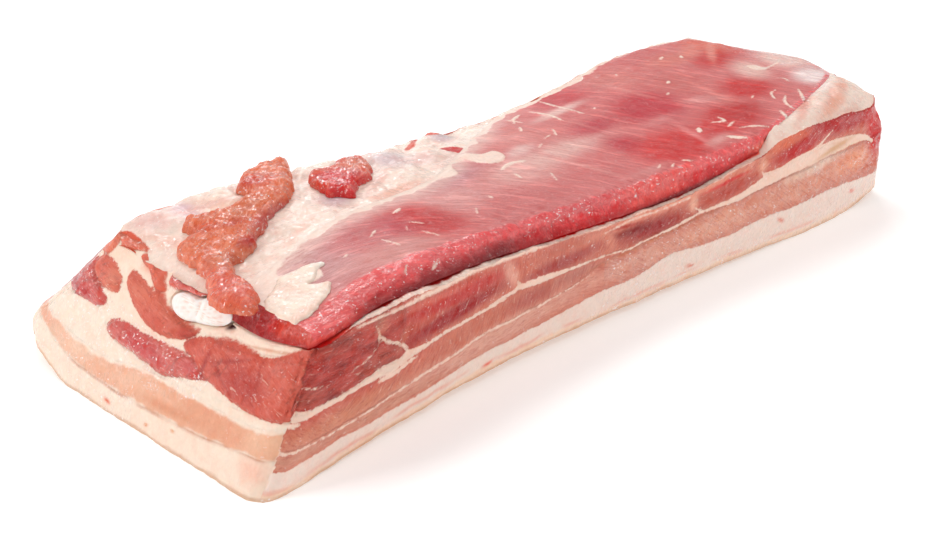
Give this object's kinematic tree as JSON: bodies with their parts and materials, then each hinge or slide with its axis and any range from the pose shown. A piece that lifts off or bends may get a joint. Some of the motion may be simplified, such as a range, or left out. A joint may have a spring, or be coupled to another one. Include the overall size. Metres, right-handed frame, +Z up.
{
  "type": "pork belly slab",
  "caption": "Boneless slab of raw pork belly lying on its rind, layered fat and lean with an open seam under the top muscle.",
  "frame": {"origin": "middle of the underside's bounding rectangle, on the plane the slab rests on", "axes": "+X along the slab, away from the cut end with the cartilage; -Y towards the long side with the open seam; +Z up, away from the rind"},
  "size_m": [0.37, 0.151, 0.0636],
  "materials": {
    "rind_fat": "creamy white fat on pale rind, moist",
    "pale_meat": "pale pink lean, moist",
    "seam_fat": "cream fat, moist",
    "red_meat": "red lean with fat seams, wet",
    "cover_fat": "cream fat with thin membrane, wet",
    "silverskin_meat": "lean under thin silverskin, wet sheen",
    "rib_meat": "rough torn lean, moist",
    "membrane_fat": "thin cream membrane, wet",
    "cartilage": "smooth white cut cartilage"
  },
  "bodies": {
    "root": {"back_fat": "rind_fat", "pale_lean": "pale_meat", "seam_fat": "seam_fat", "main_lean": "red_meat", "fat_cover": "cover_fat", "top_muscle": "silverskin_meat", "rib_muscle": "rib_meat", "muscle_scrap": "rib_meat", "membrane": "membrane_fat", "cartilage": "cartilage"}
  },
  "joints": []
}
